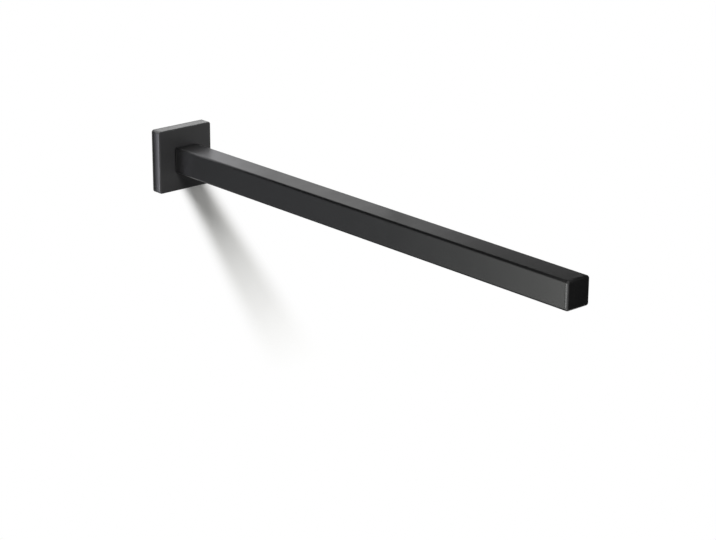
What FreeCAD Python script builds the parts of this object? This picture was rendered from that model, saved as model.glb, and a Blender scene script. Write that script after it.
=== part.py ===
import FreeCAD
import Part
import math
import os

# Single-arm towel bar for a wall: a square tube stands straight out of a small square rose.
# The rose is a hollow casting. It slides over a bracket that is screwed to the wall, and a set
# screw in its underside locks it there. The arm is a tube with rounded plates at both ends. The plate
# at its root stands on the rose's face, a square tenon on it fits a shallow seat there, and a bolt from
# inside the rose pulls it tight.
# Millimetres. The origin is on the wall, on the arm's axis. X runs to the right along the wall,
# Y runs into the wall and Z runs up. "Out" is the distance from the wall, so Y is minus out.

# Arm tube
ARM_REACH = 410.0               # from the wall to the arm's end face
ARM_SIDE = 20.0                 # outside of the square tube
ARM_WALL = 1.5
ARM_CORNER_EXTRA = 0.2          # the long edges are rounder than the end plates by this much
ARM_BORE_RADIUS = 0.5           # long inside edges of the tube

# Plates that close the tube at both ends
PLATE_EDGE_RADIUS = 1.8         # round the outer face
PLATE_LAND = 0.55               # straight side of the plate, behind that round
PLATE_SEAM = 0.15               # chamfer that leaves a hairline joint against the tube

# End cap, a plate with a hollow spigot inside the tube
CAP_SPIGOT_LENGTH = 10.0
CAP_SPIGOT_WALL = 1.6
CAP_SPIGOT_CLEARANCE = 0.05

# Root block, a plate with a solid body brazed into the tube and a tenon towards the rose
BLOCK_LENGTH = 30.0
BLOCK_TENON = 12.0              # side of the tenon
BLOCK_TENON_RADIUS = 1.0        # its corners
BLOCK_TENON_GAP = 0.2           # from its end to the bottom of the seat
BLOCK_CLEARANCE = 0.05
BLOCK_EDGE_EXTRA = 0.3          # its long edges are rounder than the tube's bore by this much
BLOCK_BORE_SPARE = 2.0          # bore left beyond the bolt's tip
BLOCK_MOUTH_CHAMFER = 0.5

# Arm bolt, a low button-head screw
BOLT_RADIUS = 3.0
BOLT_LENGTH = 16.0
BOLT_THREAD_CLEARANCE = 0.05
BOLT_HOLE_CLEARANCE = 0.3
BOLT_TIP_CHAMFER = 0.6
BOLT_HEAD_OVERHANG = 2.25       # head beyond the shank, all round
BOLT_HEAD_HEIGHT = 3.3
BOLT_HEAD_LAND = 0.5            # flat rim round the socket's corners
BOLT_SOCKET = 4.0               # across the flats
BOLT_SOCKET_DEPTH = 2.0

# Washers under the bolt's head
WASHER_RADIUS = 9.0
WASHER_THICKNESS = 1.6
WASHER_EDGE = 0.25
WASHER_BORE_CLEARANCE = 0.2
LOCK_WASHER_THICKNESS = 0.7
LOCK_WASHER_RING = 1.2          # width of the ring inside the teeth
LOCK_WASHER_TOOTH = 1.1         # how far the teeth stand out
LOCK_WASHER_NOTCH = 1.0         # gap between two teeth
LOCK_WASHER_TEETH = 12

# Rose
ROSE_SIDE = 48.0
ROSE_FACE = 3.0                 # thickness of the front
ROSE_WALL = 3.0                 # thickness of the four sides
ROSE_EDGE_RADIUS = 1.0          # round the front
ROSE_CORNER_EXTRA = 1.0         # the corners are rounder than the front edge by this much
ROSE_CAVITY_RADIUS = 1.0
HEAD_WALL_GAP = 0.4             # from the bolt's head to the wall
SEAT_DEPTH = 1.0                # for the arm's tenon, in the rose's face
SEAT_CLEARANCE = 0.1

# Set screw, and the boss inside the rose that it is screwed through
SET_SCREW_RADIUS = 2.0
SET_SCREW_LENGTH = 5.0
SET_SCREW_CLEARANCE = 0.05
SET_SCREW_TIP_GAP = 0.02
SET_SCREW_CHAMFER = 0.4
SET_SCREW_CUP_RADIUS = 1.0
SET_SCREW_CUP_DEPTH = 0.6
SET_SCREW_SOCKET = 2.0          # across the flats
SET_SCREW_SOCKET_DEPTH = 2.0
BOSS_WALL = 3.0                 # beside the set screw
BOSS_RISE = 2.5                 # above the inside of the rose's bottom wall
BOSS_WALL_GAP = 0.5             # from the boss to the wall

# Wall bracket
BRACKET_CLEARANCE = 0.25        # to the rose on all four sides, and round the boss
BRACKET_FACE_GAP = 1.0          # to the inside of the rose's front
BRACKET_CORNER_EXTRA = 1.0      # its corners are rounder than the rose's cavity by this much
BRACKET_EDGE_CHAMFER = 0.4
BRACKET_WELL_CLEARANCE = 0.8    # round the washers
WALL_HOLE_MARGIN = 6.75         # from a hole's axis to the bracket's sides
WALL_HOLE_RADIUS = 2.6
WALL_HOLE_SINK = 2.4            # how far a countersink widens the hole, and how deep it is

# Sizes across the arm that follow from those above
ARM_CORNER_RADIUS = PLATE_EDGE_RADIUS + ARM_CORNER_EXTRA
PLATE_THICKNESS = PLATE_EDGE_RADIUS + PLATE_LAND + PLATE_SEAM
ARM_BORE_SIDE = ARM_SIDE - 2 * ARM_WALL
BOLT_HEAD_RADIUS = BOLT_RADIUS + BOLT_HEAD_OVERHANG
WASHER_BORE_RADIUS = BOLT_RADIUS + WASHER_BORE_CLEARANCE
LOCK_WASHER_ROOT_RADIUS = WASHER_BORE_RADIUS + LOCK_WASHER_RING
LOCK_WASHER_RADIUS = LOCK_WASHER_ROOT_RADIUS + LOCK_WASHER_TOOTH
ROSE_CORNER_RADIUS = ROSE_EDGE_RADIUS + ROSE_CORNER_EXTRA
ROSE_CAVITY_SIDE = ROSE_SIDE - 2 * ROSE_WALL
SET_SCREW_BORE_RADIUS = SET_SCREW_RADIUS + SET_SCREW_CLEARANCE
BOSS_WIDTH = 2 * (SET_SCREW_RADIUS + BOSS_WALL)
BRACKET_SIDE = ROSE_CAVITY_SIDE - 2 * BRACKET_CLEARANCE
BRACKET_CORNER_RADIUS = ROSE_CAVITY_RADIUS + BRACKET_CORNER_EXTRA
BRACKET_WELL_RADIUS = max(WASHER_RADIUS, LOCK_WASHER_RADIUS, BOLT_HEAD_RADIUS) + BRACKET_WELL_CLEARANCE
WALL_HOLE_OFFSET = BRACKET_SIDE / 2 - WALL_HOLE_MARGIN

# Distances from the wall that follow from the sizes above
ROSE_CAVITY = WASHER_THICKNESS + LOCK_WASHER_THICKNESS + BOLT_HEAD_HEIGHT + HEAD_WALL_GAP
ROSE_DEPTH = ROSE_CAVITY + ROSE_FACE
SEAT_OUT = ROSE_DEPTH - SEAT_DEPTH
TENON_OUT = SEAT_OUT + BLOCK_TENON_GAP
TUBE_ROOT_OUT = ROSE_DEPTH + PLATE_THICKNESS
TUBE_END_OUT = ARM_REACH - PLATE_THICKNESS
BLOCK_END_OUT = TUBE_ROOT_OUT + BLOCK_LENGTH
LOCK_WASHER_OUT = ROSE_CAVITY - WASHER_THICKNESS
BOLT_HEAD_OUT = LOCK_WASHER_OUT - LOCK_WASHER_THICKNESS
BOLT_TIP_OUT = BOLT_HEAD_OUT + BOLT_LENGTH
BRACKET_THICKNESS = ROSE_CAVITY - BRACKET_FACE_GAP
SET_SCREW_OUT = ROSE_CAVITY / 2

# Heights that follow from the sizes above
BOSS_TOP_Z = BOSS_RISE - ROSE_CAVITY_SIDE / 2
NOTCH_TOP_Z = BOSS_TOP_Z + BRACKET_CLEARANCE
SET_SCREW_TIP_Z = NOTCH_TOP_Z - SET_SCREW_TIP_GAP
SET_SCREW_FOOT_Z = SET_SCREW_TIP_Z - SET_SCREW_LENGTH

OUTWARD = FreeCAD.Vector(0, -1, 0)
UP = FreeCAD.Vector(0, 0, 1)
TOLERANCE = 1e-6


def at(x, out, z):
    """Point at x along the wall, out from the wall, and height z."""
    return FreeCAD.Vector(x, -out, z)


def block(width, height, near, far, centre_z=0.0):
    """Plain block between two distances from the wall, upright over or under the arm's axis."""
    corner = at(-width / 2, far, centre_z - height / 2)
    return Part.makeBox(width, far - near, height, corner)


def square_bar(side, radius, near, far):
    """Square bar on the arm's axis, with its four long edges rounded."""
    bar = block(side, side, near, far)
    long_edges = [edge for edge in bar.Edges if abs(abs(edge.Curve.Direction.y) - 1) < TOLERANCE]
    return bar.makeFillet(radius, long_edges)


def disc(radius, near, far, x=0.0, z=0.0):
    """Round bar along the arm, between two distances from the wall."""
    return Part.makeCylinder(radius, far - near, at(x, near, z), OUTWARD)


def cone(near_radius, far_radius, near, far, x=0.0, z=0.0):
    """Cone along the arm, between two distances from the wall."""
    return Part.makeCone(near_radius, far_radius, far - near, at(x, near, z), OUTWARD)


def hexagon(across_flats, depth, mouth, direction):
    """Hexagonal prism for a key socket, from the centre of its mouth along a direction."""
    corner_radius = across_flats / math.sqrt(3)
    angles = [math.radians(60 * corner) for corner in range(7)]
    points = [FreeCAD.Vector(corner_radius * math.cos(a), corner_radius * math.sin(a), 0) for a in angles]
    prism = Part.Face(Part.makePolygon(points)).extrude(UP * depth)
    prism.Placement = FreeCAD.Placement(mouth, FreeCAD.Rotation(UP, direction))
    return prism


def rim_edges(shape, out):
    """Edges of the shape that lie flat at one distance from the wall."""
    def is_on_rim(edge):
        return all(abs(vertex.Y + out) < TOLERANCE for vertex in edge.Vertexes)
    return [edge for edge in shape.Edges if is_on_rim(edge)]


def make_wall_bracket():
    """Plate screwed flat to the wall, which the rose slides over."""
    plate = square_bar(BRACKET_SIDE, BRACKET_CORNER_RADIUS, 0, BRACKET_THICKNESS)
    plate = plate.makeChamfer(BRACKET_EDGE_CHAMFER, rim_edges(plate, BRACKET_THICKNESS))
    well = disc(BRACKET_WELL_RADIUS, -ROSE_DEPTH, ROSE_DEPTH)
    notch_width = BOSS_WIDTH + 2 * BRACKET_CLEARANCE
    notch_height = NOTCH_TOP_Z + ROSE_SIDE / 2
    notch = block(notch_width, notch_height, -ROSE_DEPTH, ROSE_DEPTH, NOTCH_TOP_Z - notch_height / 2)
    plate = plate.cut(well).cut(notch)
    for x in (-WALL_HOLE_OFFSET, WALL_HOLE_OFFSET):
        for z in (-WALL_HOLE_OFFSET, WALL_HOLE_OFFSET):
            plate = plate.cut(make_wall_hole(x, z))
    return plate


def make_wall_hole(x, z):
    """Space of one countersunk hole for a wall screw."""
    hole = disc(WALL_HOLE_RADIUS, -ROSE_DEPTH, ROSE_DEPTH, x, z)
    sink_out = BRACKET_THICKNESS - WALL_HOLE_SINK
    sink = cone(WALL_HOLE_RADIUS, WALL_HOLE_RADIUS + WALL_HOLE_SINK, sink_out, BRACKET_THICKNESS, x, z)
    return hole.fuse(sink)


def make_rose():
    """Hollow square casting with the arm's seat in its face and the set screw's boss inside."""
    body = square_bar(ROSE_SIDE, ROSE_CORNER_RADIUS, 0, ROSE_DEPTH)
    body = body.makeFillet(ROSE_EDGE_RADIUS, rim_edges(body, ROSE_DEPTH))
    cavity = square_bar(ROSE_CAVITY_SIDE, ROSE_CAVITY_RADIUS, -ROSE_DEPTH, ROSE_CAVITY)
    boss_height = BOSS_TOP_Z + ROSE_SIDE / 2
    boss = block(BOSS_WIDTH, boss_height, BOSS_WALL_GAP, ROSE_DEPTH, BOSS_TOP_Z - boss_height / 2)
    seat_side = BLOCK_TENON + 2 * SEAT_CLEARANCE
    seat = square_bar(seat_side, BLOCK_TENON_RADIUS + SEAT_CLEARANCE, SEAT_OUT, ARM_REACH)
    bolt_hole = disc(BOLT_RADIUS + BOLT_HOLE_CLEARANCE, 0, ROSE_DEPTH)
    screw_hole_foot = at(0, SET_SCREW_OUT, -ROSE_SIDE)
    screw_hole = Part.makeCylinder(SET_SCREW_BORE_RADIUS, ROSE_SIDE, screw_hole_foot, UP)
    return body.cut(cavity.cut(boss)).cut(seat).cut(bolt_hole).cut(screw_hole)


def make_set_screw():
    """Headless screw with a cup point, screwed up through the rose to bear on the wall bracket."""
    foot = at(0, SET_SCREW_OUT, SET_SCREW_FOOT_Z)
    body = Part.makeCylinder(SET_SCREW_RADIUS, SET_SCREW_LENGTH, foot, UP)
    end_edges = [edge for edge in body.Edges if len(edge.Vertexes) == 1]
    body = body.makeChamfer(SET_SCREW_CHAMFER, end_edges)
    socket = hexagon(SET_SCREW_SOCKET, SET_SCREW_SOCKET_DEPTH, foot, UP)
    cup_foot = at(0, SET_SCREW_OUT, SET_SCREW_TIP_Z - SET_SCREW_CUP_DEPTH)
    cup = Part.makeCone(0, SET_SCREW_CUP_RADIUS, SET_SCREW_CUP_DEPTH, cup_foot, UP)
    return body.cut(socket).cut(cup)


def make_arm_tube():
    """Square tube, open at both ends, between the plate at its root and the end cap."""
    outside = square_bar(ARM_SIDE, ARM_CORNER_RADIUS, TUBE_ROOT_OUT, TUBE_END_OUT)
    bore = square_bar(ARM_BORE_SIDE, ARM_BORE_RADIUS, 0, ARM_REACH)
    return outside.cut(bore)


def make_end_plate(face_out, tube_out):
    """Plate that closes the tube: rounded round its outer face and chamfered against the tube."""
    plate = square_bar(ARM_SIDE, ARM_CORNER_RADIUS, min(face_out, tube_out), max(face_out, tube_out))
    plate = plate.makeFillet(PLATE_EDGE_RADIUS, rim_edges(plate, face_out))
    return plate.makeChamfer(PLATE_SEAM, rim_edges(plate, tube_out))


def make_arm_end_cap():
    """Plate that closes the tube's free end, and the hollow spigot that holds it there."""
    plate = make_end_plate(ARM_REACH, TUBE_END_OUT)
    spigot_out = TUBE_END_OUT - CAP_SPIGOT_LENGTH
    spigot_side = ARM_BORE_SIDE - 2 * CAP_SPIGOT_CLEARANCE
    spigot = square_bar(spigot_side, ARM_BORE_RADIUS, spigot_out, TUBE_END_OUT)
    hollow = square_bar(spigot_side - 2 * CAP_SPIGOT_WALL, ARM_BORE_RADIUS, 0, TUBE_END_OUT)
    return plate.fuse(spigot.cut(hollow)).removeSplitter()


def make_arm_root_block():
    """Plate that closes the tube's root, its body in the tube, its tenon, and the arm bolt's blind bore."""
    plate = make_end_plate(ROSE_DEPTH, TUBE_ROOT_OUT)
    side = ARM_BORE_SIDE - 2 * BLOCK_CLEARANCE
    body = square_bar(side, ARM_BORE_RADIUS + BLOCK_EDGE_EXTRA, TUBE_ROOT_OUT, BLOCK_END_OUT)
    tenon = square_bar(BLOCK_TENON, BLOCK_TENON_RADIUS, TENON_OUT, ROSE_DEPTH)
    bore_radius = BOLT_RADIUS + BOLT_THREAD_CLEARANCE
    bore = disc(bore_radius, 0, BOLT_TIP_OUT + BLOCK_BORE_SPARE)
    mouth_end = TENON_OUT + BLOCK_MOUTH_CHAMFER
    mouth = cone(bore_radius + BLOCK_MOUTH_CHAMFER, bore_radius, TENON_OUT, mouth_end)
    return plate.fuse(body).fuse(tenon).removeSplitter().cut(bore).cut(mouth)


def make_arm_bolt():
    """Button-head screw with a hexagon socket. Its domed head faces the wall."""
    top_out = BOLT_HEAD_OUT - BOLT_HEAD_HEIGHT
    top_radius = BOLT_SOCKET / math.sqrt(3) + BOLT_HEAD_LAND
    dome_rise = (BOLT_HEAD_RADIUS**2 - top_radius**2 - BOLT_HEAD_HEIGHT**2) / (2 * BOLT_HEAD_HEIGHT)
    dome = Part.makeSphere(math.hypot(BOLT_HEAD_RADIUS, dome_rise), at(0, BOLT_HEAD_OUT + dome_rise, 0))
    head = disc(BOLT_HEAD_RADIUS, top_out, BOLT_HEAD_OUT).common(dome)
    shank = disc(BOLT_RADIUS, BOLT_HEAD_OUT, BOLT_TIP_OUT)
    shank = shank.makeChamfer(BOLT_TIP_CHAMFER, rim_edges(shank, BOLT_TIP_OUT))
    socket = hexagon(BOLT_SOCKET, BOLT_SOCKET_DEPTH, at(0, top_out, 0), OUTWARD)
    return head.fuse(shank).removeSplitter().cut(socket)


def make_bolt_washer():
    """Broad flat washer that spreads the bolt's pull over the inside of the rose's face."""
    ring = disc(WASHER_RADIUS, LOCK_WASHER_OUT, ROSE_CAVITY)
    ring = ring.makeChamfer(WASHER_EDGE, rim_edges(ring, LOCK_WASHER_OUT))
    return ring.cut(disc(WASHER_BORE_RADIUS, 0, ROSE_DEPTH))


def make_lock_washer():
    """Toothed lock washer between the flat washer and the bolt's head."""
    ring = disc(LOCK_WASHER_RADIUS, BOLT_HEAD_OUT, LOCK_WASHER_OUT)
    ring = ring.cut(disc(WASHER_BORE_RADIUS, 0, ROSE_DEPTH))
    notch_height = 2 * LOCK_WASHER_TOOTH
    notch_middle = LOCK_WASHER_ROOT_RADIUS + LOCK_WASHER_TOOTH
    for tooth in range(LOCK_WASHER_TEETH):
        notch = block(LOCK_WASHER_NOTCH, notch_height, 0, ROSE_DEPTH, notch_middle)
        notch.rotate(at(0, 0, 0), OUTWARD, 360 * tooth / LOCK_WASHER_TEETH)
        ring = ring.cut(notch)
    return ring


def main():
    """Build every piece and write it to its own file."""
    pieces = {
        "wall_bracket": make_wall_bracket(),
        "rose": make_rose(),
        "set_screw": make_set_screw(),
        "arm_tube": make_arm_tube(),
        "arm_end_cap": make_arm_end_cap(),
        "arm_root_block": make_arm_root_block(),
        "arm_bolt": make_arm_bolt(),
        "bolt_washer": make_bolt_washer(),
        "lock_washer": make_lock_washer(),
    }
    os.makedirs("parts", exist_ok=True)
    for name, shape in pieces.items():
        shape.exportStep(f"parts/{name}.step")
        print(f"{name}: {len(shape.Solids)} solid, {shape.Volume:.1f} mm3, valid {shape.isValid()}")


main()
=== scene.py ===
"""Looks of a single-arm towel bar in satin black: a square tube on a small square wall rose.

Lengths are in metres, in the part's own frame. The wall is the plane Y = 0, X runs to the right along
it as seen from the room, Z runs up, and the arm stands out along -Y. "Out" is the distance from the wall.
"""

import logging
import math
from dataclasses import dataclass
from enum import Enum
from typing import Any, Optional, Sequence, Union

import bmesh
import bpy
from mathutils import Matrix, Vector

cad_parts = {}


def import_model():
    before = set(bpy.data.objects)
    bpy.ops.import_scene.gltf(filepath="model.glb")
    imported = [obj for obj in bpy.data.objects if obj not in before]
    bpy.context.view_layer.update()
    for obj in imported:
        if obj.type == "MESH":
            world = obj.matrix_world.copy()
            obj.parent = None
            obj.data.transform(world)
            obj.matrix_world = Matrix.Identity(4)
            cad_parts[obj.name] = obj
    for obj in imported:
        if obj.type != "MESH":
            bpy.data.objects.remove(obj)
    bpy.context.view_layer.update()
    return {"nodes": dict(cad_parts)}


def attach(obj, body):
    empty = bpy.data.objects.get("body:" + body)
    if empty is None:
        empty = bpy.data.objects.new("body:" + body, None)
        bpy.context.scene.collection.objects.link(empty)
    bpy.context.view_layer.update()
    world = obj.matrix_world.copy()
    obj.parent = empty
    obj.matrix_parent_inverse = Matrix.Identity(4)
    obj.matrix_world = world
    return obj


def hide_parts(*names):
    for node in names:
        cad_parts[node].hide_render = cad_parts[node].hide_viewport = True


log = logging.getLogger("towel_bar")

MM = 0.001
ARM_BODY = "towel_arm"

Colour = tuple[float, float, float]
Point = tuple[float, float, float]
Span = tuple[float, float]
Value = Union[float, bpy.types.NodeSocket]


class Sum(Enum):
    """Sums that the shader nodes work out."""

    ADD = "ADD"
    SUBTRACT = "SUBTRACT"
    MULTIPLY = "MULTIPLY"
    DIVIDE = "DIVIDE"
    LARGER = "MAXIMUM"
    SMALLER = "MINIMUM"
    SIZE = "ABSOLUTE"
    POWER = "POWER"
    LESS = "LESS_THAN"


class Axis(Enum):
    """Axes of the part's frame, by the name of their socket."""

    RIGHT = "X"
    INTO_WALL = "Y"
    UP = "Z"


class NodeBoard:
    """One node tree on which nodes are placed and joined."""

    def __init__(self, tree: bpy.types.NodeTree) -> None:
        """Take an empty or new node tree."""
        self.tree = tree

    def add(self, kind: str, **settings: Any) -> bpy.types.Node:
        """Place a node.

        Args:
            kind: Blender's name for the node type.
            settings: properties of the node, by name.

        Returns:
            The new node.
        """
        node = self.tree.nodes.new(kind)
        for name, value in settings.items():
            setattr(node, name, value)
        return node

    def feed(self, socket: bpy.types.NodeSocket, value: Any) -> None:
        """Join a socket to another one, or set its own value."""
        if isinstance(value, bpy.types.NodeSocket):
            self.tree.links.new(value, socket)
        else:
            socket.default_value = value

    def work_out(self, step: Sum, first: Value, second: Value = 0.0) -> bpy.types.NodeSocket:
        """Work out one sum.

        Args:
            step: which sum.
            first: first number or socket.
            second: second number or socket, unused by a sum of one number.

        Returns:
            The socket that holds the result.
        """
        node = self.add("ShaderNodeMath", operation=step.value)
        self.feed(node.inputs[0], first)
        self.feed(node.inputs[1], second)
        return node.outputs[0]

    def ramp(
        self, value: Value, start: Value, end: Value, low: Value = 0.0, high: Value = 1.0
    ) -> bpy.types.NodeSocket:
        """Turn a range of values smoothly into another range, held at both ends.

        Args:
            value: what is turned.
            start: value that gives low.
            end: value that gives high.
            low: result at the start.
            high: result at the end.

        Returns:
            The socket that holds the result.
        """
        node = self.add("ShaderNodeMapRange", interpolation_type="SMOOTHSTEP")
        names = ("Value", "From Min", "From Max", "To Min", "To Max")
        for name, number in zip(names, (value, start, end, low, high)):
            self.feed(node.inputs[name], number)
        return node.outputs["Result"]

    def place(self) -> bpy.types.NodeSocket:
        """Give the point on the piece, in the piece's own metres."""
        return self.add("ShaderNodeTexCoord").outputs["Object"]

    def place_by_axis(self) -> dict[Axis, bpy.types.NodeSocket]:
        """Give the point on the piece as one socket for each axis.

        Returns:
            The sockets, by axis.
        """
        split = self.add("ShaderNodeSeparateXYZ")
        self.feed(split.inputs[0], self.place())
        return {axis: split.outputs[axis.value] for axis in Axis}

    def noise(
        self, scale: Value, detail: float, where: Optional[bpy.types.NodeSocket] = None
    ) -> bpy.types.NodeSocket:
        """Make a noise between 0 and 1.

        Args:
            scale: waves in a metre.
            detail: how many finer layers it has.
            where: point that it is read at, or None for the point on the piece.

        Returns:
            The socket that holds the noise.
        """
        node = self.add("ShaderNodeTexNoise")
        self.feed(node.inputs["Vector"], where or self.place())
        self.feed(node.inputs["Scale"], scale)
        self.feed(node.inputs["Detail"], detail)
        return node.outputs["Fac"]

    def blend_colours(self, share: Value, first: Any, second: Any) -> bpy.types.NodeSocket:
        """Mix two colours.

        Args:
            share: how much of the second colour there is.
            first: first colour or socket.
            second: second colour or socket.

        Returns:
            The socket that holds the mixed colour.
        """
        node = self.add("ShaderNodeMix", data_type="RGBA")
        self.feed(node.inputs["Factor"], share)
        for name, colour in (("A", first), ("B", second)):
            socket = next(s for s in node.inputs if s.name == name and s.type == "RGBA")
            self.feed(socket, colour if isinstance(colour, bpy.types.NodeSocket) else (*colour, 1.0))
        return next(s for s in node.outputs if s.type == "RGBA")


class Effects:
    """Surface effects that several finishes share, each a node group that is built once.

    A detail is the number of finer layers in a noise. A span is where a mask starts and where it is full.
    """

    DIMPLE_DETAIL: float = 1.5
    GRAIN_DETAIL: float = 2.0
    CLOUD_DETAIL: float = 4.0
    RAGGED_DETAIL: float = 3.0
    LINE_DETAIL: float = 2.0
    SPECKLE_SPAN: Span = (0.42, 0.62)
    CLOUD_SPAN: Span = (0.32, 0.68)
    RAGGED_SPAN: Span = (0.35, 0.7)
    EDGE_SPAN: Span = (0.1, 0.5)
    TURN_SPAN: Span = (0.7, 0.9)

    def __init__(self) -> None:
        """Build every group."""
        self.fine_grain = self._fine_grain()
        self.cloudy_tone = self._cloudy_tone()
        self.edge_thin_coat_and_highlight = self._build_edge_thin_coat_and_highlight()
        self.tool_lines = self._tool_lines()

    @staticmethod
    def _group(
        name: str, inputs: tuple[str, ...], outputs: tuple[str, ...]
    ) -> tuple[NodeBoard, bpy.types.Node, bpy.types.Node]:
        """Start a group with named sockets.

        Args:
            name: name of the group.
            inputs: name of each input, whose value every finish sets.
            outputs: name of each output.

        Returns:
            The group's board, its input node and its output node.
        """
        tree = bpy.data.node_groups.new(name, "ShaderNodeTree")
        for way, labels in (("INPUT", inputs), ("OUTPUT", outputs)):
            for label in labels:
                tree.interface.new_socket(label, in_out=way, socket_type="NodeSocketFloat")
        board = NodeBoard(tree)
        return board, board.add("NodeGroupInput"), board.add("NodeGroupOutput")

    def _fine_grain(self) -> bpy.types.NodeTree:
        """Build the soft dimples and the finer grain of a sprayed or etched skin.

        Returns:
            The group, which puts out a height and a speckle.
        """
        inputs = ("Dimple Scale", "Grain Scale", "Grain Share")
        board, given, made = self._group("fine_grain", inputs, ("Height", "Speckle"))
        dimples = board.noise(given.outputs["Dimple Scale"], self.DIMPLE_DETAIL)
        grain = board.noise(given.outputs["Grain Scale"], self.GRAIN_DETAIL)
        fine = board.work_out(Sum.MULTIPLY, grain, given.outputs["Grain Share"])
        board.feed(made.inputs["Height"], board.work_out(Sum.ADD, dimples, fine))
        board.feed(made.inputs["Speckle"], board.ramp(grain, *self.SPECKLE_SPAN))
        return board.tree

    def _cloudy_tone(self) -> bpy.types.NodeTree:
        """Build slow, cloudy changes of tone.

        Returns:
            The group, which puts out a tone between its low and high inputs.
        """
        board, given, made = self._group("cloudy_tone", ("Scale", "Low", "High"), ("Tone",))
        clouds = board.noise(given.outputs["Scale"], self.CLOUD_DETAIL)
        tone = board.ramp(clouds, *self.CLOUD_SPAN, given.outputs["Low"], given.outputs["High"])
        board.feed(made.inputs["Tone"], tone)
        return board.tree

    def _build_edge_thin_coat_and_highlight(self) -> bpy.types.NodeTree:
        """Build a mask on the edges of a square piece that stands round the arm's axis, for the thinner coat
        and painted highlight there.

        Returns:
            The group, which puts out one mask of the long edges, and one of the front edges on the half
            of their rounding that turns from the front.
        """
        inputs = ("Half Side", "Front Out", "Edge Radius", "Break Up")
        board, given, made = self._group("edge_thin_coat_and_highlight", inputs, ("Long Edges", "Front Edges"))
        point = board.place_by_axis()
        across = board.work_out(Sum.SIZE, point[Axis.RIGHT])
        tall = board.work_out(Sum.SIZE, point[Axis.UP])
        flat = board.work_out(Sum.SUBTRACT, given.outputs["Half Side"], given.outputs["Edge Radius"])
        inner = board.work_out(Sum.SUBTRACT, given.outputs["Front Out"], given.outputs["Edge Radius"])
        long_edge = board.work_out(Sum.SUBTRACT, board.work_out(Sum.SMALLER, across, tall), flat)
        side = board.work_out(Sum.SUBTRACT, board.work_out(Sum.LARGER, across, tall), flat)
        out = board.work_out(Sum.MULTIPLY, point[Axis.INTO_WALL], -1.0)
        face = board.work_out(Sum.SUBTRACT, out, inner)
        turn = board.work_out(Sum.DIVIDE, side, given.outputs["Edge Radius"])
        turned = board.ramp(turn, *self.TURN_SPAN)
        front_edge = board.work_out(Sum.MULTIPLY, board.work_out(Sum.SMALLER, side, face), turned)
        patches = board.noise(given.outputs["Break Up"], self.RAGGED_DETAIL)
        ragged = board.ramp(patches, *self.RAGGED_SPAN)
        for label, near in (("Long Edges", long_edge), ("Front Edges", front_edge)):
            share = board.work_out(Sum.DIVIDE, near, given.outputs["Edge Radius"])
            whole = board.ramp(share, *self.EDGE_SPAN)
            board.feed(made.inputs[label], board.work_out(Sum.MULTIPLY, whole, ragged))
        return board.tree

    def _tool_lines(self) -> bpy.types.NodeTree:
        """Build the fine lines that rolling or cutting leaves in steel.

        Returns:
            The group, which puts out a height.
        """
        board, given, made = self._group("tool_lines", ("Lines", "Length"), ("Height",))
        stretched = board.add("ShaderNodeCombineXYZ")
        for axis, distance in board.place_by_axis().items():
            waves = given.outputs["Length" if axis is Axis.RIGHT else "Lines"]
            board.feed(stretched.inputs[axis.value], board.work_out(Sum.MULTIPLY, distance, waves))
        board.feed(made.inputs["Height"], board.noise(1.0, self.LINE_DETAIL, stretched.outputs[0]))
        return board.tree


class Finish:
    """Shared start of every finish: a material with one Principled shader.

    In every finish, a scale is in waves in a metre, a depth is in metres, and bump_share is the share of the
    bump that is used.
    """

    name: str
    dimple_scale: float
    grain_scale: float
    grain_share: float
    bump_share: float

    def start(self) -> tuple[bpy.types.Material, NodeBoard, bpy.types.Node]:
        """Make the empty material.

        Returns:
            The material, its board and its Principled shader.
        """
        material = bpy.data.materials.new(self.name)
        material.use_nodes = True
        board = NodeBoard(material.node_tree)
        return material, board, material.node_tree.nodes["Principled BSDF"]

    @staticmethod
    def effect(board: NodeBoard, group: bpy.types.NodeTree, **values: Value) -> bpy.types.Node:
        """Place a shared effect.

        Args:
            board: board of the material.
            group: the effect's node group.
            values: values of its inputs, with _ for a space.

        Returns:
            The group's node.
        """
        node = board.add("ShaderNodeGroup", node_tree=group)
        for label, value in values.items():
            board.feed(node.inputs[label.replace("_", " ")], value)
        return node

    def grain(self, board: NodeBoard, effects: Effects) -> bpy.types.Node:
        """Place the fine grain of this finish.

        Args:
            board: board of the material.
            effects: the shared effects.

        Returns:
            The group's node.
        """
        return self.effect(
            board,
            effects.fine_grain,
            Dimple_Scale=self.dimple_scale,
            Grain_Scale=self.grain_scale,
            Grain_Share=self.grain_share,
        )

    def raise_surface(self, board: NodeBoard, shader: bpy.types.Node, height: Value, depth: float) -> None:
        """Give the shader a bumpy surface.

        Args:
            board: board of the material.
            shader: the Principled shader.
            height: socket of the height, from 0 to about 1.
            depth: real height of a full step, in metres.
        """
        bump = board.add("ShaderNodeBump")
        board.feed(bump.inputs["Height"], height)
        board.feed(bump.inputs["Distance"], depth)
        board.feed(bump.inputs["Strength"], self.bump_share)
        board.feed(shader.inputs["Normal"], bump.outputs["Normal"])


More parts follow.
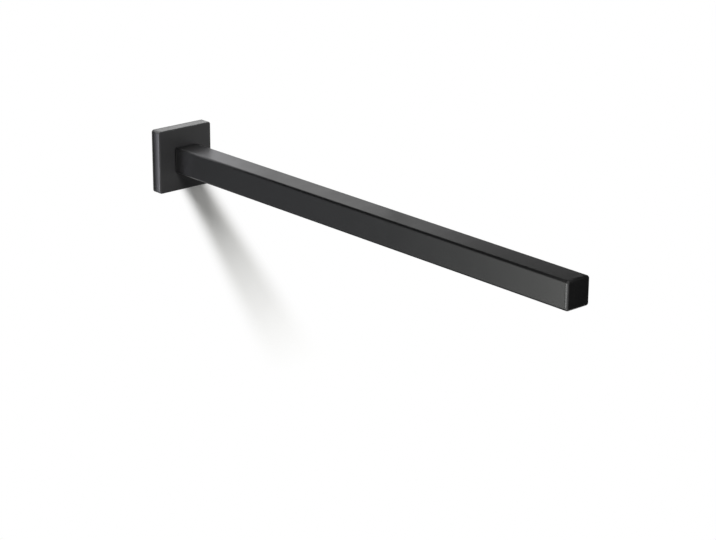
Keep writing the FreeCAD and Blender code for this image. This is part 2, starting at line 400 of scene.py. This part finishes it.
@dataclass(frozen=True)
class PowderCoat(Finish):
    """Satin black powder coat, lighter and smoother along the piece's edges: the lighter edge colour is
    partly a thinner coat and partly a painted highlight.
    """

    name: str
    half_side: float
    front_out: float
    edge_radius: float
    # The arm's coat: painted shade, a darker copy of the coat that the rose wears lighter, so the arm's end
    # face looks unlit.
    colour: Colour = (0.0055, 0.0055, 0.0056)
    pale_colour: Colour = (0.0085, 0.0085, 0.0087)
    # Lighter edge colour: partly a thinner coat, partly a painted highlight on the rounded edges.
    thin_coat_and_highlight_colour: Colour = (0.05, 0.05, 0.051)
    roughness: float = 0.36
    roughness_swing: float = 0.015
    edge_polish: float = 0.08
    long_edge_share: float = 0.03
    front_edge_share: float = 0.9
    edge_break_up: float = 70.0
    cloud_scale: float = 38.0
    rub_scale: float = 60.0
    dimple_scale: float = 620.0
    grain_scale: float = 4600.0
    grain_share: float = 0.3
    dimple_depth: float = 0.000012
    bump_share: float = 0.8

    def make(self, effects: Effects) -> bpy.types.Material:
        """Build the material.

        Args:
            effects: the shared effects.

        Returns:
            The material.
        """
        material, board, shader = self.start()
        grain = self.grain(board, effects)
        clouds = self.effect(board, effects.cloudy_tone, Scale=self.cloud_scale, Low=0.0, High=1.0)
        edge = self.effect(
            board,
            effects.edge_thin_coat_and_highlight,
            Half_Side=self.half_side,
            Front_Out=self.front_out,
            Edge_Radius=self.edge_radius,
            Break_Up=self.edge_break_up,
        )
        mottle = board.work_out(Sum.MULTIPLY, clouds.outputs["Tone"], grain.outputs["Speckle"])
        body = board.blend_colours(mottle, self.colour, self.pale_colour)
        # Painted highlight and thinner coat: the edges take the lighter colour, most of all the front edges.
        along = board.work_out(Sum.MULTIPLY, edge.outputs["Long Edges"], self.long_edge_share)
        before = board.work_out(Sum.MULTIPLY, edge.outputs["Front Edges"], self.front_edge_share)
        thin_coat_and_highlight = board.work_out(Sum.LARGER, along, before)
        board.feed(shader.inputs["Base Color"], board.blend_colours(thin_coat_and_highlight, body, self.thin_coat_and_highlight_colour))
        rub = self.effect(
            board,
            effects.cloudy_tone,
            Scale=self.rub_scale,
            Low=self.roughness - self.roughness_swing,
            High=self.roughness + self.roughness_swing,
        )
        polish = board.work_out(Sum.MULTIPLY, thin_coat_and_highlight, self.edge_polish)
        board.feed(shader.inputs["Roughness"], board.work_out(Sum.SUBTRACT, rub.outputs["Tone"], polish))
        self.raise_surface(board, shader, grain.outputs["Height"], self.dimple_depth)
        return material


@dataclass(frozen=True)
class ZincPlate(Finish):
    """Bright zinc plating on rolled steel, with a faint cloudy bloom."""

    name: str
    colour: Colour = (0.60, 0.61, 0.62)
    bloom_colour: Colour = (0.50, 0.51, 0.53)
    metallic: float = 1.0
    roughness: float = 0.36
    smoother: float = 0.07
    duller: float = 0.09
    bloom_scale: float = 140.0
    line_scale: float = 4200.0
    line_length_scale: float = 70.0
    line_depth: float = 0.000012
    dimple_scale: float = 900.0
    grain_scale: float = 5200.0
    grain_share: float = 0.5
    grain_beside_lines: float = 0.4
    bump_share: float = 0.7

    def make(self, effects: Effects) -> bpy.types.Material:
        """Build the material.

        Args:
            effects: the shared effects.

        Returns:
            The material.
        """
        material, board, shader = self.start()
        shader.inputs["Metallic"].default_value = self.metallic
        grain = self.grain(board, effects)
        bloom = self.effect(board, effects.cloudy_tone, Scale=self.bloom_scale, Low=0.0, High=1.0)
        lines = self.effect(board, effects.tool_lines, Lines=self.line_scale, Length=self.line_length_scale)
        tone = board.blend_colours(bloom.outputs["Tone"], self.colour, self.bloom_colour)
        board.feed(shader.inputs["Base Color"], tone)
        low, high = self.roughness - self.smoother, self.roughness + self.duller
        board.feed(shader.inputs["Roughness"], board.ramp(bloom.outputs["Tone"], 0.0, 1.0, low, high))
        soft = board.work_out(Sum.MULTIPLY, grain.outputs["Height"], self.grain_beside_lines)
        height = board.work_out(Sum.ADD, soft, lines.outputs["Height"])
        self.raise_surface(board, shader, height, self.line_depth)
        return material


@dataclass(frozen=True)
class BlackOxide(Finish):
    """Black oxide on hardened steel screws and washers."""

    name: str
    colour: Colour = (0.052, 0.052, 0.056)
    worn_colour: Colour = (0.10, 0.098, 0.095)
    metallic: float = 0.85
    roughness: float = 0.42
    smoother: float = 0.05
    duller: float = 0.07
    wear_scale: float = 320.0
    wear_share: float = 0.7
    dimple_scale: float = 1500.0
    grain_scale: float = 6500.0
    grain_share: float = 0.6
    grain_depth: float = 0.000008
    bump_share: float = 0.7

    def make(self, effects: Effects) -> bpy.types.Material:
        """Build the material.

        Args:
            effects: the shared effects.

        Returns:
            The material.
        """
        material, board, shader = self.start()
        shader.inputs["Metallic"].default_value = self.metallic
        grain = self.grain(board, effects)
        worn = self.effect(board, effects.cloudy_tone, Scale=self.wear_scale, Low=0.0, High=self.wear_share)
        tone = board.blend_colours(worn.outputs["Tone"], self.colour, self.worn_colour)
        board.feed(shader.inputs["Base Color"], tone)
        low, high = self.roughness - self.smoother, self.roughness + self.duller
        board.feed(shader.inputs["Roughness"], board.ramp(grain.outputs["Speckle"], 0.0, 1.0, low, high))
        self.raise_surface(board, shader, grain.outputs["Height"], self.grain_depth)
        return material


@dataclass(frozen=True)
class Ring:
    """One rounded square round the arm's axis."""

    out: float
    half: float
    radius: float
    crisp: bool = False

    def points(self, steps: int) -> list[Point]:
        """Give the ring's points.

        Args:
            steps: flats in each rounded corner.

        Returns:
            The points, the same number from every ring.
        """
        found: list[Point] = []
        straight = self.half - self.radius
        for corner in range(4):
            turn = corner * math.pi / 2
            sign_x = 1 if corner in (0, 3) else -1
            sign_z = 1 if corner in (0, 1) else -1
            for step in range(steps + 1):
                angle = turn + step / steps * math.pi / 2
                x = sign_x * straight + self.radius * math.cos(angle)
                z = sign_z * straight + self.radius * math.sin(angle)
                found.append((x, -self.out, z))
        return found


def skin_rings(name: str, rings: list[Ring], steps: int, looped: bool) -> bpy.types.Object:
    """Make a closed piece by joining rounded squares one after another.

    Args:
        name: name of the piece.
        rings: the rounded squares, in order along the skin.
        steps: flats in each rounded corner.
        looped: True if the last ring joins the first, otherwise a face closes each end.

    Returns:
        The piece, with smooth rounds and crisp edges where a ring says so.
    """
    shape = bmesh.new()
    rows = [[shape.verts.new(point) for point in ring.points(steps)] for ring in rings]
    pairs = list(zip(rows, rows[1:]))
    if looped:
        pairs.append((rows[-1], rows[0]))
    else:
        shape.faces.new(rows[0])
        shape.faces.new(rows[-1])
    for row, following in pairs:
        for index, vertex in enumerate(row):
            beside = (index + 1) % len(row)
            shape.faces.new((vertex, row[beside], following[beside], following[index]))
    for face in shape.faces:
        face.smooth = True
    for row, ring in zip(rows, rings):
        for index, vertex in enumerate(row):
            edge = shape.edges.get((vertex, row[(index + 1) % len(row)]))
            edge.smooth = not ring.crisp
    bmesh.ops.recalc_face_normals(shape, faces=shape.faces)
    mesh = bpy.data.meshes.new(name)
    shape.to_mesh(mesh)
    shape.free()
    piece = bpy.data.objects.new(name, mesh)
    bpy.context.scene.collection.objects.link(piece)
    even = piece.modifiers.new("even_shading", "WEIGHTED_NORMAL")
    even.keep_sharp = True
    return piece


def dress(piece: bpy.types.Object, material: bpy.types.Material) -> None:
    """Put a material into every material slot of a piece, and into a new one if it has none."""
    if not piece.material_slots:
        piece.data.materials.append(material)
    for place in piece.material_slots:
        place.material = material


@dataclass
class TowelArm:
    """The square tube, the cap on its free end, and what holds it to the rose from inside."""

    side: float = 20 * MM
    corner_radius: float = 2.0 * MM
    wall: float = 1.5 * MM
    bore_radius: float = 0.5 * MM
    tube_root_out: float = 11.5 * MM
    tube_end_out: float = 407.5 * MM
    reach: float = 410 * MM
    cap_edge_radius: float = 1.8 * MM
    cap_seam: float = 0.15 * MM
    spigot_length: float = 10 * MM
    spigot_wall: float = 1.6 * MM
    spigot_clearance: float = 0.05 * MM
    corner_steps: int = 12
    round_steps: int = 10

    def build_tube(self) -> bpy.types.Object:
        """Build the tube, open at both ends.

        Returns:
            The tube.
        """
        half, bore = self.side / 2, self.side / 2 - self.wall
        rings = [
            Ring(self.tube_root_out, half, self.corner_radius, crisp=True),
            Ring(self.tube_end_out, half, self.corner_radius, crisp=True),
            Ring(self.tube_end_out, bore, self.bore_radius, crisp=True),
            Ring(self.tube_root_out, bore, self.bore_radius, crisp=True),
        ]
        return skin_rings("arm_tube_coated", rings, self.corner_steps, looped=True)

    def build_end_cap(self) -> bpy.types.Object:
        """Build the end plate with its rounded edge, hairline seam and hollow spigot.

        Returns:
            The cap.
        """
        half, edge = self.side / 2, self.cap_edge_radius
        spigot = half - self.wall - self.spigot_clearance
        hollow = spigot - self.spigot_wall
        foot_out = self.tube_end_out - self.spigot_length
        rings = [
            Ring(self.tube_end_out, hollow, self.bore_radius, crisp=True),
            Ring(foot_out, hollow, self.bore_radius, crisp=True),
            Ring(foot_out, spigot, self.bore_radius, crisp=True),
            Ring(self.tube_end_out, spigot, self.bore_radius, crisp=True),
            Ring(self.tube_end_out, half - self.cap_seam, self.corner_radius - self.cap_seam, crisp=True),
            Ring(self.tube_end_out + self.cap_seam, half, self.corner_radius, crisp=True),
        ]
        for step in range(self.round_steps + 1):
            angle = step / self.round_steps * math.pi / 2
            inset = edge * (1 - math.cos(angle))
            out = self.reach - edge + edge * math.sin(angle)
            rings.append(Ring(out, half - inset, self.corner_radius - inset))
        return skin_rings("arm_end_cap_coated", rings, self.corner_steps, looped=False)

    def make(self, nodes: dict[str, bpy.types.Object], effects: Effects) -> list[bpy.types.Object]:
        """Build and dress the arm.

        Args:
            nodes: the fixed frame's nodes, by name.
            effects: the shared effects.

        Returns:
            The arm's pieces.
        """
        pieces: list[bpy.types.Object] = []
        # The arm wears the darker, painted-shade copy of the coat that the rose wears lighter.
        coat = PowderCoat("satin_black_arm_painted_shade", self.side / 2, self.reach, self.corner_radius).make(effects)
        for piece, node in ((self.build_tube(), "arm_tube"), (self.build_end_cap(), "arm_end_cap")):
            dress(piece, coat)
            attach(piece, ARM_BODY)
            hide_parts(node)
            pieces.append(piece)
        oxide = BlackOxide("arm_bolt_oxide").make(effects)
        zinc = ZincPlate("washer_zinc").make(effects)
        for node, material in (
            ("arm_root_block", coat),
            ("arm_bolt", oxide),
            ("lock_washer", oxide),
            ("bolt_washer", zinc),
        ):
            dress(nodes[node], material)
            pieces.append(nodes[node])
        return pieces


@dataclass
class WallRose:
    """The rose and the set screw in its underside."""

    side: float = 48 * MM
    depth: float = 9.0 * MM
    edge_radius: float = 1.0 * MM
    # Painted light: the rose wears a lighter copy of the arm's black coat, so its front looks lit by the lamp
    # while the arm's end face looks shaded.
    painted_lit_coat_colour: Colour = (0.0205, 0.0205, 0.0210)
    pale_painted_lit_coat_colour: Colour = (0.0270, 0.0270, 0.0275)
    coat_roughness: float = 0.42

    def make(self, nodes: dict[str, bpy.types.Object], effects: Effects) -> list[bpy.types.Object]:
        """Dress the rose and its screw.

        Args:
            nodes: the fixed frame's nodes, by name.
            effects: the shared effects.

        Returns:
            The rose and its screw.
        """
        coat = PowderCoat(
            "satin_black_rose_painted_lit",
            self.side / 2,
            self.depth,
            self.edge_radius,
            colour=self.painted_lit_coat_colour,
            pale_colour=self.pale_painted_lit_coat_colour,
            roughness=self.coat_roughness,
        )
        dress(nodes["rose"], coat.make(effects))
        dress(nodes["set_screw"], BlackOxide("set_screw_oxide").make(effects))
        return [nodes["rose"], nodes["set_screw"]]


@dataclass
class WallFixing:
    """The bracket that is screwed to the wall."""

    def make(self, nodes: dict[str, bpy.types.Object], effects: Effects) -> list[bpy.types.Object]:
        """Dress the bracket.

        Args:
            nodes: the fixed frame's nodes, by name.
            effects: the shared effects.

        Returns:
            The bracket.
        """
        dress(nodes["wall_bracket"], ZincPlate("bracket_zinc").make(effects))
        return [nodes["wall_bracket"]]


def bare_material(name: str) -> tuple[bpy.types.Material, NodeBoard]:
    """Make a material with no nodes yet.

    Args:
        name: name of the material.

    Returns:
        The material and its board.
    """
    material = bpy.data.materials.new(name)
    material.use_nodes = True
    board = NodeBoard(material.node_tree)
    board.tree.nodes.clear()
    return material, board


def flat_sheet(name: str, corners: Sequence[Point]) -> bpy.types.Object:
    """Make a flat sheet of the studio.

    Args:
        name: name of the sheet.
        corners: its corners, anticlockwise as seen from its front.

    Returns:
        The sheet.
    """
    mesh = bpy.data.meshes.new(name)
    mesh.from_pydata(list(corners), [], [tuple(range(len(corners)))])
    sheet = bpy.data.objects.new(name, mesh)
    bpy.context.scene.collection.objects.link(sheet)
    return sheet


@dataclass(frozen=True)
class Panel:
    """A flat panel that only reflections show: a dark card, or a lit one that may change along an axis."""

    name: str
    corners: tuple[Point, ...]
    glow: Colour
    far_glow: Optional[Colour] = None
    axis: Axis = Axis.RIGHT
    near: float = 0.0
    far: float = 1.0

    def make(self) -> None:
        """Hang the panel."""
        sheet = flat_sheet(self.name, self.corners)
        sheet.visible_camera = False
        sheet.visible_diffuse = False
        sheet.visible_transmission = False
        sheet.visible_shadow = False
        sheet.visible_volume_scatter = False
        material, board = bare_material(self.name)
        light = board.add("ShaderNodeEmission")
        light.inputs["Color"].default_value = (*self.glow, 1.0)
        if self.far_glow:
            along = board.ramp(board.place_by_axis()[self.axis], self.near, self.far)
            board.feed(light.inputs["Color"], board.blend_colours(along, self.glow, self.far_glow))
        board.feed(board.add("ShaderNodeOutputMaterial").inputs["Surface"], light.outputs[0])
        dress(sheet, material)


def upright(out: float, *outline: tuple[float, float]) -> tuple[Point, ...]:
    """Give the corners of a panel that hangs parallel to the wall.

    Args:
        out: distance from the wall.
        outline: X and Z of each corner.

    Returns:
        The corners.
    """
    return tuple((x, -out, z) for x, z in outline)


DARK: Colour = (0.012, 0.012, 0.012)

PANELS: tuple[Panel, ...] = (
    Panel(
        "dark_card_over_arm",
        (
            (-0.25, -0.075, 0.138),
            (-0.25, -0.32, 0.138),
            (0.05, -0.32, 0.138),
            (0.05, -0.52, 0.138),
            (0.56, -0.52, 0.138),
            (0.56, -0.02, 0.138),
            (0.27, -0.02, 0.138),
            (0.18, -0.075, 0.138),
        ),
        glow=DARK,
    ),
    Panel(
        "dark_card_over_rose",
        upright(
            0.012,
            (-0.30, 0.042),
            (-0.03, 0.042),
            (0.03, 0.095),
            (0.12, 0.21),
            (0.12, 0.50),
            (-0.30, 0.50),
        ),
        glow=DARK,
    ),
    Panel(
        "dark_card_under_arm",
        upright(0.020, (0.0, -0.014), (-0.26, -0.62), (0.47, -0.62)),
        glow=DARK,
    ),
    Panel(
        "dark_card_beyond_end",
        ((-0.010, -0.500, -0.10), (0.130, -0.400, -0.10), (0.115, -0.420, 0.06), (-0.025, -0.520, 0.06)),
        glow=DARK,
    ),
    Panel(
        "bright_card_over_rose",
        upright(0.0004, (-0.035, 0.0242), (0.050, 0.0242), (0.050, 0.041), (-0.035, 0.041)),
        glow=(2.0, 2.0, 2.0),
        far_glow=(18.0, 18.0, 18.0),
        axis=Axis.UP,
        near=0.034,
        far=0.044,
    ),
    Panel(
        "bright_card_by_root",
        upright(
            0.0097,
            (-0.035, 0.0245),
            (0.0245, 0.0245),
            (0.0245, 0.0),
            (0.15, 0.0),
            (0.15, 0.095),
            (-0.035, 0.095),
        ),
        glow=(1.72, 1.72, 1.77),
        far_glow=(1.10, 1.10, 1.10),
        near=0.005,
        far=0.09,
    ),
    Panel(
        "side_card",
        ((-0.75, -0.012, -0.55), (-0.0243, -0.0093, -0.55), (-0.0243, -0.0093, 0.04), (-0.75, -0.012, 0.04)),
        glow=(0.42, 0.43, 0.45),
        far_glow=(2.5, 2.55, 2.4),
        near=-0.33,
        far=-0.575,
    ),
    Panel(
        "card_beside_rose",
        upright(0.0004, (-0.060, -0.06), (-0.0243, -0.06), (-0.0243, 0.024), (-0.060, 0.024)),
        glow=(0.03, 0.03, 0.03),
        far_glow=(6.2, 6.2, 6.8),
        near=-0.0255,
        far=-0.0360,
    ),
    Panel(
        "fill_card_before_rose",
        ((0.023, -0.148, -0.101), (0.135, -0.049, -0.101), (0.167, -0.085, 0.041), (0.054, -0.184, 0.041)),
        glow=(0.02, 0.02, 0.02),
        far_glow=(0.42, 0.42, 0.42),
        axis=Axis.UP,
        near=-0.068,
        far=-0.026,
    ),
    Panel(
        "far_left_card",
        upright(0.013, (-2.2, -0.95), (-0.75, -0.95), (-0.75, 0.06), (-2.2, 0.06)),
        glow=(2.5, 2.55, 2.4),
        far_glow=(13.0, 13.0, 13.0),
        near=-0.75,
        far=-1.15,
    ),
    Panel(
        "left_softbox",
        ((-0.70, -1.10, -0.65), (-0.70, -0.42, -0.65), (-0.70, -0.42, 0.0), (-0.70, -1.10, 0.0)),
        glow=(2.4, 2.4, 2.4),
    ),
)


@dataclass
class Studio:
    """White wall, pale floor, panels for the reflections, one lamp and a plain surround.

    The shadow runs right and down by shadow_right and shadow_down for each metre that the arm stands out. The
    lamp follows that slope, and so does the stretch of wall that keeps the shadow. It begins to fade
    shadow_start below the arm's axis and is gone at shadow_end.
    """

    wall_gap: float = 0.6 * MM
    close_reflection: float = 2.5 * MM
    wall_half_width: float = 1.9
    wall_top: float = 1.3
    floor_level: float = -0.90
    floor_reach: float = 1.6
    wall_tone: Colour = (0.95, 0.95, 0.92)
    floor_tone: Colour = (0.80, 0.80, 0.80)
    floor_white_share: float = 0.85
    surround: float = 0.25
    surround_seen: float = 1.0
    lamp_strength: float = 2.62
    lamp_spread_deg: float = 12.0
    shadow_right: float = 0.245
    shadow_down: float = 0.425
    shadow_start: float = 0.052
    shadow_end: float = 0.200
    shadow_rise: float = 0.020
    shadow_fall: float = 0.75
    shadow_core: float = 0.003
    shadow_rim: float = 0.0135
    shadow_widening: float = 6.0

    def shadow_share(self, board: NodeBoard) -> bpy.types.NodeSocket:
        """Work out how much of the arm's shadow the wall keeps at each point.

        Args:
            board: board of the wall's paint.

        Returns:
            Socket that is 1 near the rose, under the arm's shadow, and falls to 0 away from it.
        """
        length = math.hypot(self.shadow_right, self.shadow_down)
        right, down = self.shadow_right / length, self.shadow_down / length
        point = board.place_by_axis()
        x, z = point[Axis.RIGHT], point[Axis.UP]
        x_along, z_along = board.work_out(Sum.MULTIPLY, x, right), board.work_out(Sum.MULTIPLY, z, down)
        x_aside, z_aside = board.work_out(Sum.MULTIPLY, x, down), board.work_out(Sum.MULTIPLY, z, right)
        along = board.work_out(Sum.SUBTRACT, x_along, z_along)
        aside = board.work_out(Sum.ADD, x_aside, z_aside)
        reach = self.shadow_end - self.shadow_start
        left = board.work_out(Sum.DIVIDE, board.work_out(Sum.ADD, z, self.shadow_end), reach)
        held = board.work_out(Sum.LARGER, board.work_out(Sum.SMALLER, left, 1.0), 0.0)
        fading = board.work_out(Sum.POWER, held, self.shadow_fall)
        ahead = board.work_out(Sum.LARGER, along, 0.0)
        spread = board.work_out(Sum.ADD, board.work_out(Sum.MULTIPLY, ahead, self.shadow_widening), 1.0)
        off_axis = board.work_out(Sum.DIVIDE, board.work_out(Sum.SIZE, aside), spread)
        band = board.ramp(off_axis, self.shadow_core, self.shadow_rim, 1.0, 0.0)
        below = board.ramp(along, 0.0, self.shadow_rise)
        return board.work_out(Sum.MULTIPLY, board.work_out(Sum.MULTIPLY, fading, band), below)

    def build_wall(self) -> None:
        """Build the white wall, which keeps the arm's shadow and can't be seen from behind."""
        y, half, foot, top = self.wall_gap, self.wall_half_width, self.floor_level, self.wall_top
        wall = flat_sheet("wall", [(-half, y, foot), (half, y, foot), (half, y, top), (-half, y, top)])
        wall.visible_shadow = False
        wall.visible_diffuse = False
        material, board = self.one_sided_paint("white_wall", self.wall_tone)
        direct = self.direct_ray(board, board.tree.nodes["path"])
        plain = board.work_out(Sum.SUBTRACT, 1.0, self.shadow_share(board))
        self.whiten(board, board.work_out(Sum.MULTIPLY, plain, direct))
        dress(wall, material)

    @staticmethod
    def direct_ray(board: NodeBoard, path: bpy.types.Node) -> bpy.types.NodeSocket:
        """Tell the rays that show the background from those that carry its light.

        Args:
            board: board of the material or the surround.
            path: its Light Path node.

        Returns:
            Socket that is 1 for rays from the camera, through glass or off a glossy surface.
        """
        direct = board.work_out(Sum.LARGER, path.outputs["Is Camera Ray"], path.outputs["Is Glossy Ray"])
        return board.work_out(Sum.LARGER, direct, path.outputs["Is Transmission Ray"])

    @staticmethod
    def whiten(board: NodeBoard, share: Value) -> None:
        """Show a paint as plain white to a share of the rays.

        Args:
            board: board of a one-sided paint.
            share: socket or number of that share.
        """
        front = board.add("ShaderNodeMixShader")
        board.feed(front.inputs[0], share)
        board.feed(front.inputs[1], board.tree.nodes["paint"].outputs[0])
        board.feed(front.inputs[2], board.add("ShaderNodeEmission").outputs[0])
        board.feed(board.tree.nodes["side"].inputs[1], front.outputs[0])

    def one_sided_paint(self, name: str, tone: Colour) -> tuple[bpy.types.Material, NodeBoard]:
        """Make a matt paint that shows neither from behind nor in a surface that all but touches it.

        Args:
            name: name of the material.
            tone: its colour.

        Returns:
            The material and its board, with nodes named paint, side and path.
        """
        material, board = bare_material(name)
        paint = board.add("ShaderNodeBsdfDiffuse", name="paint")
        paint.inputs["Color"].default_value = (*tone, 1.0)
        side = board.add("ShaderNodeMixShader", name="side")
        path = board.add("ShaderNodeLightPath", name="path")
        close = board.work_out(Sum.LESS, path.outputs["Ray Length"], self.close_reflection)
        touching = board.work_out(Sum.MULTIPLY, close, path.outputs["Is Glossy Ray"])
        behind = board.add("ShaderNodeNewGeometry").outputs["Backfacing"]
        board.feed(side.inputs[0], board.work_out(Sum.LARGER, behind, touching))
        board.feed(side.inputs[1], paint.outputs[0])
        board.feed(side.inputs[2], board.add("ShaderNodeBsdfTransparent").outputs[0])
        board.feed(board.add("ShaderNodeOutputMaterial").inputs["Surface"], side.outputs[0])
        return material, board

    def build_floor(self) -> None:
        """Build the pale floor, which can't be seen from below."""
        front, half, z = -self.floor_reach, self.floor_reach / 2, self.floor_level
        floor = flat_sheet("floor", [(-half, front, z), (half, front, z), (half, 0.0, z), (-half, 0.0, z)])
        floor.visible_shadow = False
        material, board = self.one_sided_paint("pale_floor", self.floor_tone)
        direct = self.direct_ray(board, board.tree.nodes["path"])
        self.whiten(board, board.work_out(Sum.MULTIPLY, direct, self.floor_white_share))
        dress(floor, material)

    def light(self) -> None:
        """Hang the lamp and set the surround."""
        data = bpy.data.lights.new("key_lamp", "SUN")
        data.energy = self.lamp_strength
        data.angle = math.radians(self.lamp_spread_deg)
        lamp = bpy.data.objects.new("key_lamp", data)
        bpy.context.scene.collection.objects.link(lamp)
        beam = Vector((self.shadow_right, 1.0, -self.shadow_down))
        lamp.rotation_mode = "QUATERNION"
        lamp.rotation_quaternion = beam.to_track_quat("-Z", "Y")
        lamp.visible_glossy = False
        world = bpy.data.worlds.new("surround")
        bpy.context.scene.world = world
        world.use_nodes = True
        board = NodeBoard(world.node_tree)
        board.tree.nodes.clear()
        mix = board.add("ShaderNodeMixShader")
        board.feed(mix.inputs[0], self.direct_ray(board, board.add("ShaderNodeLightPath")))
        for place, tone in ((1, self.surround), (2, self.surround_seen)):
            glow = board.add("ShaderNodeBackground")
            glow.inputs["Color"].default_value = (tone, tone, tone, 1.0)
            board.feed(mix.inputs[place], glow.outputs[0])
        board.feed(board.add("ShaderNodeOutputWorld").inputs["Surface"], mix.outputs[0])

    def make(self) -> None:
        """Build the whole studio."""
        self.build_wall()
        self.build_floor()
        for panel in PANELS:
            panel.make()
        self.light()


@dataclass(frozen=True)
class PhotoCamera:
    """Camera at the photograph's viewing angle, for an image of 716 by 540 pixels."""

    place: Point = (-0.92391, -1.25207, 0.43895)
    azimuth_deg: float = -41.412
    elevation_deg: float = 18.848
    roll_deg: float = 0.297
    lens_mm: float = 107.72
    sensor_mm: float = 36.0
    nearest: float = 0.05
    farthest: float = 50.0

    def make(self) -> None:
        """Place the camera and make it the scene's own."""
        azimuth = math.radians(self.azimuth_deg)
        elevation = math.radians(self.elevation_deg)
        roll = math.radians(self.roll_deg)
        level = math.cos(elevation)
        back = Vector((math.sin(azimuth) * level, -math.cos(azimuth) * level, math.sin(elevation)))
        right = Vector((math.cos(azimuth), math.sin(azimuth), 0.0))
        up = back.cross(right)
        rolled_right = right * math.cos(roll) + up * math.sin(roll)
        rolled_up = up * math.cos(roll) - right * math.sin(roll)
        data = bpy.data.cameras.new("photo_camera")
        data.lens = self.lens_mm
        data.sensor_width = self.sensor_mm
        data.clip_start = self.nearest
        data.clip_end = self.farthest
        camera = bpy.data.objects.new("photo_camera", data)
        turn = Matrix((rolled_right, rolled_up, back)).transposed().to_4x4()
        camera.matrix_world = Matrix.Translation(self.place) @ turn
        bpy.context.scene.collection.objects.link(camera)
        bpy.context.scene.camera = camera


def main() -> None:
    """Load the fixed frame, build every piece round it, and log what each piece is dressed in."""
    logging.basicConfig(level=logging.INFO, format="%(message)s")
    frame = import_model()
    bpy.context.scene.view_settings.view_transform = "Standard"
    PhotoCamera().make()
    Studio().make()
    log.info("camera and studio set")
    effects = Effects()
    for assembly in (WallFixing(), WallRose(), TowelArm()):
        for piece in assembly.make(frame["nodes"], effects):
            log.info("%s is dressed in %s", piece.name, piece.material_slots[0].name)


if __name__ == "__main__":
    main()
